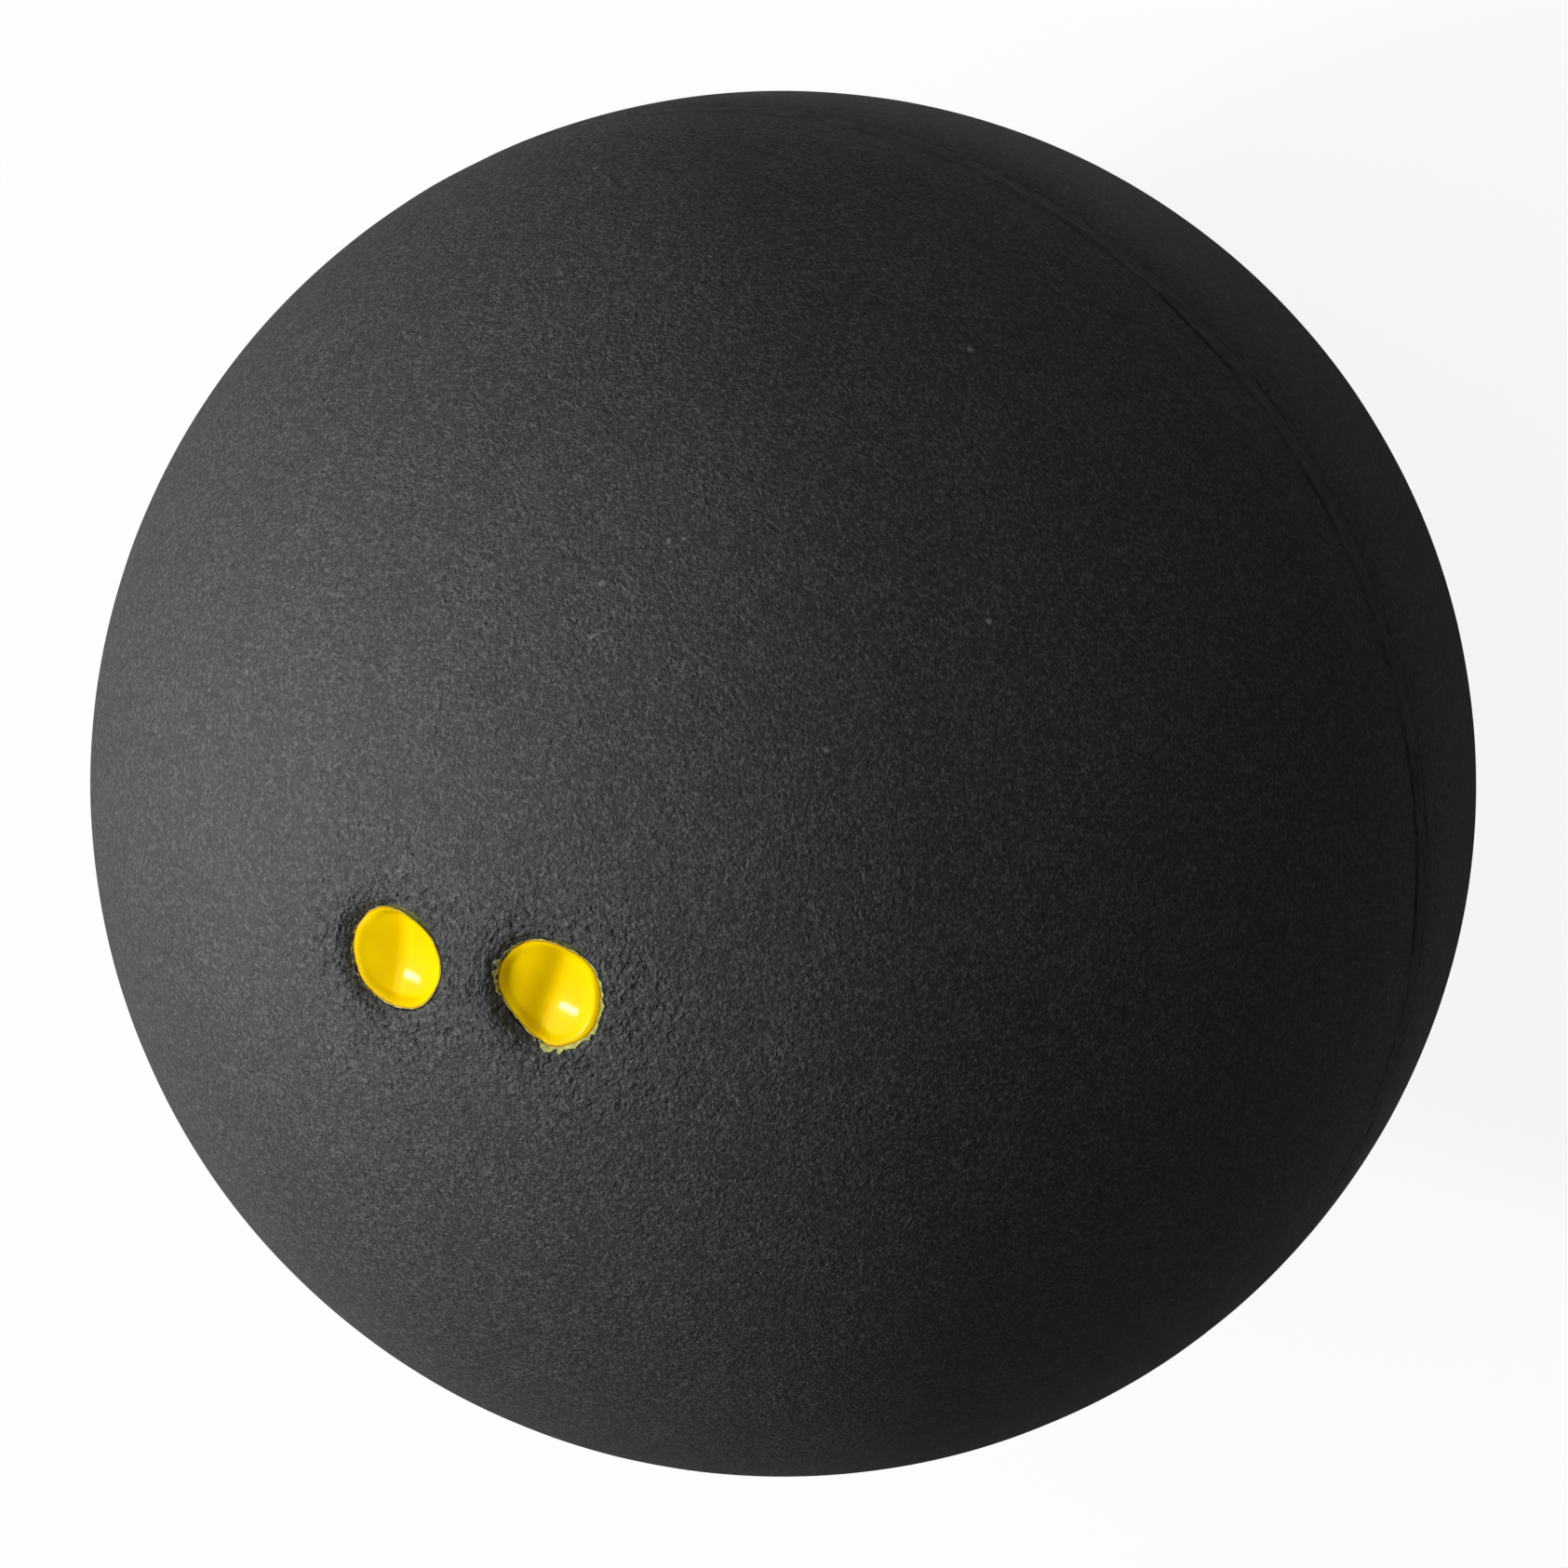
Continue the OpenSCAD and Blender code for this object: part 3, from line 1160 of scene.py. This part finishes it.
def yellow_paint(shader):
    """Glossy yellow paint, greenish where its fringe thins out.

    Its edge is amber: painted shade along it, where the paint also thins.
    """
    look = sizes("look")
    edge = shader.node("Attribute", {}, "Fac", attribute_name="edge_share")
    amber = (look.paint[0] * 0.45, look.paint[1] * 0.2, 0.0)
    # Amber in soft clouds of tone, and painted shade in amber along the thick paint's edge, where
    # it thins
    amber_and_edge_shade = shader.blots("paint_clouds") * 0.12 + shader.fade(edge, 0.955, 1.0) * 0.85
    stray = (shader.noise(6.0, 2.0, 0.6, 33.0) - 0.5) * 0.5
    fringe = shader.fade(edge + stray, 1.02, 1.2)
    shade = shader.blend(amber_and_edge_shade, look.paint, amber)
    shade = shader.blend(fringe, shade, look.smear)
    shade = shader.blend(shader.blots("bare_paint") * fringe * 0.5, shade, look.bloom)
    height = shader.noise(1.6, 1.0, 0.4, 14.0) + fringe * shader.noise(8.0)
    shader.set(Base_Color=shade, Roughness=0.4 + shader.noise(2.5, seed=9.0) * 0.08 + fringe * 0.25,
               Specular_IOR_Level=0.02, Coat_Weight=0.08 - fringe * 0.07, Coat_Roughness=0.1,
               Normal=shader.bump(height, 0.006 * MM))


# The stage

# Lamps: name, lean away from the camera's line of sight and turn from its right towards its
# up, in degrees, width and height in metres, and the light that reaches the ball
LAMPS = (
    ("key_lamp", 84, 189, 0.07, 0.3, 2.4),
    ("left_softbox", 54, 177, 1.1, 1.1, 2.3),
    ("front_card", 4, 90, 0.5, 0.5, 0.14),
    ("low_softbox", 108, 168, 0.5, 0.4, 0.5),
    ("right_card", 57, 15, 0.5, 0.3, 0.1),
)
LAMP_DISTANCE = 1.2
FLOOR_RADIUS = 4.0
FLOOR_STEPS = 96
SENSOR_MM = 36.0


def camera_axes():
    """Right, up and towards-the-camera directions of the camera."""
    stage = sizes("stage")
    back = on_ball(stage.azimuth, stage.height, 1.0)
    right = Vector((-math.sin(stage.azimuth), math.cos(stage.azimuth), 0))
    up = back.cross(right)
    turned_right = right * math.cos(stage.roll) + up * math.sin(stage.roll)
    return turned_right, back.cross(turned_right), back


def place_camera():
    """Camera at the photograph's angle, its frame filled as there."""
    stage = sizes("stage")
    right, up, back = camera_axes()
    data = bpy.data.cameras.new("camera")
    camera = add_object("camera", data)
    turn = Matrix((right, up, back)).transposed()
    camera.matrix_world = Matrix.Translation(back * stage.distance) @ turn.to_4x4()
    ratio = stage.distance / sizes("ball").radius
    focal_px = stage.outline_px * math.sqrt(ratio * ratio - 1)
    data.sensor_width = SENSOR_MM
    data.lens = focal_px / stage.photo_px * data.sensor_width
    data.shift_x = (stage.photo_px / 2 - stage.middle_px[0]) / stage.photo_px
    data.shift_y = (stage.middle_px[1] - stage.photo_px / 2) / stage.photo_px
    data.clip_start = 0.01
    data.clip_end = 20.0
    bpy.context.scene.camera = camera


def place_lamp(name, lean, turn, width, height, light):
    """Soft box that shines on the ball from a direction of the camera's own view."""
    right, up, back = camera_axes()
    lean, turn = math.radians(lean), math.radians(turn)
    sideways = right * math.cos(turn) + up * math.sin(turn)
    way = sideways * math.sin(lean) + back * math.cos(lean)
    data = bpy.data.lights.new(name, "AREA")
    data.shape = "RECTANGLE"
    data.size = width
    data.size_y = height
    data.energy = light * math.pi * LAMP_DISTANCE * LAMP_DISTANCE
    lamp = add_object(name, data)
    lamp.location = way * LAMP_DISTANCE
    lamp.rotation_mode = "QUATERNION"
    lamp.rotation_quaternion = way.to_track_quat("Z", "Y")
    lamp.visible_camera = False


def pale_floor(shader):
    """Pale floor that the camera sees near white, with part of the ball's shadow."""
    stage = sizes("stage")
    seen, glossy, through = [shader.light_path(ray) for ray in ("Camera", "Glossy", "Transmission")]
    shader.set(Base_Color=shader.blend(seen, tuple(stage.floor), (0.9, 0.9, 0.9)),
               Roughness=0.9, Specular_IOR_Level=0.0)
    gloss = (glossy + through).at_most(1.0) * stage.gloss_share
    white_share = seen * (1 - stage.shadow_share) + gloss
    white = shader.node("Emission", {"Color": (1, 1, 1)})
    plain = Value(shader, shader.surface.outputs[0])
    mixed = shader.node("MixShader", {0: white_share, 1: plain, 2: white})
    shader.fill(shader.tree.nodes["Material Output"].inputs["Surface"], mixed)


def place_floor():
    """Round floor that the ball stands on."""
    mesh = bmesh.new()
    bmesh.ops.create_circle(mesh, cap_ends=True, segments=FLOOR_STEPS, radius=FLOOR_RADIUS,
                            matrix=Matrix.Translation(UP * CAD_BOX[0].z))
    add_mesh(mesh, "floor", pale_floor)


def place_sky():
    """Sky that the camera sees as white, and that lights nothing."""
    world = bpy.data.worlds.new("studio")
    shader = Shader(world, "Background")
    shader.set(Color=(1, 1, 1), Strength=shader.light_path("Camera"))
    bpy.context.scene.world = world


# Operators


class MESH_OT_squash_halves(bpy.types.Operator):
    """Adds the two rubber half shells"""

    bl_idname = "mesh.squash_halves"
    bl_label = "Half shells"

    def execute(self, context):
        build_half(DOTTED, "dotted_half_rubber", "dotted_half_shell")
        build_half(PLAIN, "plain_half_rubber", "plain_half_shell")
        return {"FINISHED"}


class MESH_OT_squash_glue(bpy.types.Operator):
    """Adds the ring of glue between the half shells"""

    bl_idname = "mesh.squash_glue"
    bl_label = "Seam glue"

    def execute(self, context):
        build_glue("seam_glue_ring", "seam_adhesive")
        return {"FINISHED"}


class MESH_OT_squash_dots(bpy.types.Operator):
    """Adds the two yellow dots"""

    bl_idname = "mesh.squash_dots"
    bl_label = "Yellow dots"

    def execute(self, context):
        build_paint(LEFT_DOT, LEFT_PAINT, "left_dot_paint", "left_yellow_dot")
        build_paint(RIGHT_DOT, RIGHT_PAINT, "right_dot_paint", "right_yellow_dot")
        return {"FINISHED"}


class SCENE_OT_squash_stage(bpy.types.Operator):
    """Adds the camera, the floor and the lamps"""

    bl_idname = "scene.squash_stage"
    bl_label = "Stage"

    def execute(self, context):
        place_camera()
        place_floor()
        place_sky()
        for lamp in LAMPS:
            place_lamp(*lamp)
        context.scene.view_settings.view_transform = "Standard"
        return {"FINISHED"}


OPERATORS = (SCENE_OT_squash_stage, MESH_OT_squash_halves, MESH_OT_squash_glue, MESH_OT_squash_dots)


class VIEW3D_PT_squash_ball(bpy.types.Panel):
    """Sizes of the ball and a button for each of its parts"""

    bl_idname = "VIEW3D_PT_squash_ball"
    bl_label = "Squash ball"
    bl_space_type = "VIEW_3D"
    bl_region_type = "UI"
    bl_category = "Squash ball"

    def draw(self, context):
        for group, kind in GROUPS.items():
            box = self.layout.box()
            for name in kind.__annotations__:
                box.prop(sizes(group), name)
        for operator in OPERATORS:
            self.layout.operator(operator.bl_idname)


def register():
    """Registers the settings, the operators and the panel."""
    for group, kind in GROUPS.items():
        bpy.utils.register_class(kind)
        setattr(bpy.types.Scene, "squash_" + group, PointerProperty(type=kind))
    for kind in OPERATORS:
        bpy.utils.register_class(kind)
    bpy.utils.register_class(VIEW3D_PT_squash_ball)


def unregister():
    """Takes them all away again."""
    bpy.utils.unregister_class(VIEW3D_PT_squash_ball)
    for kind in reversed(OPERATORS):
        bpy.utils.unregister_class(kind)
    for group, kind in GROUPS.items():
        delattr(bpy.types.Scene, "squash_" + group)
        bpy.utils.unregister_class(kind)


def main():
    """Builds the stage and every piece of the ball."""
    register()
    bpy.ops.scene.squash_stage()
    bpy.ops.mesh.squash_halves()
    bpy.ops.mesh.squash_glue()
    bpy.ops.mesh.squash_dots()


if __name__ == "__main__":
    main()
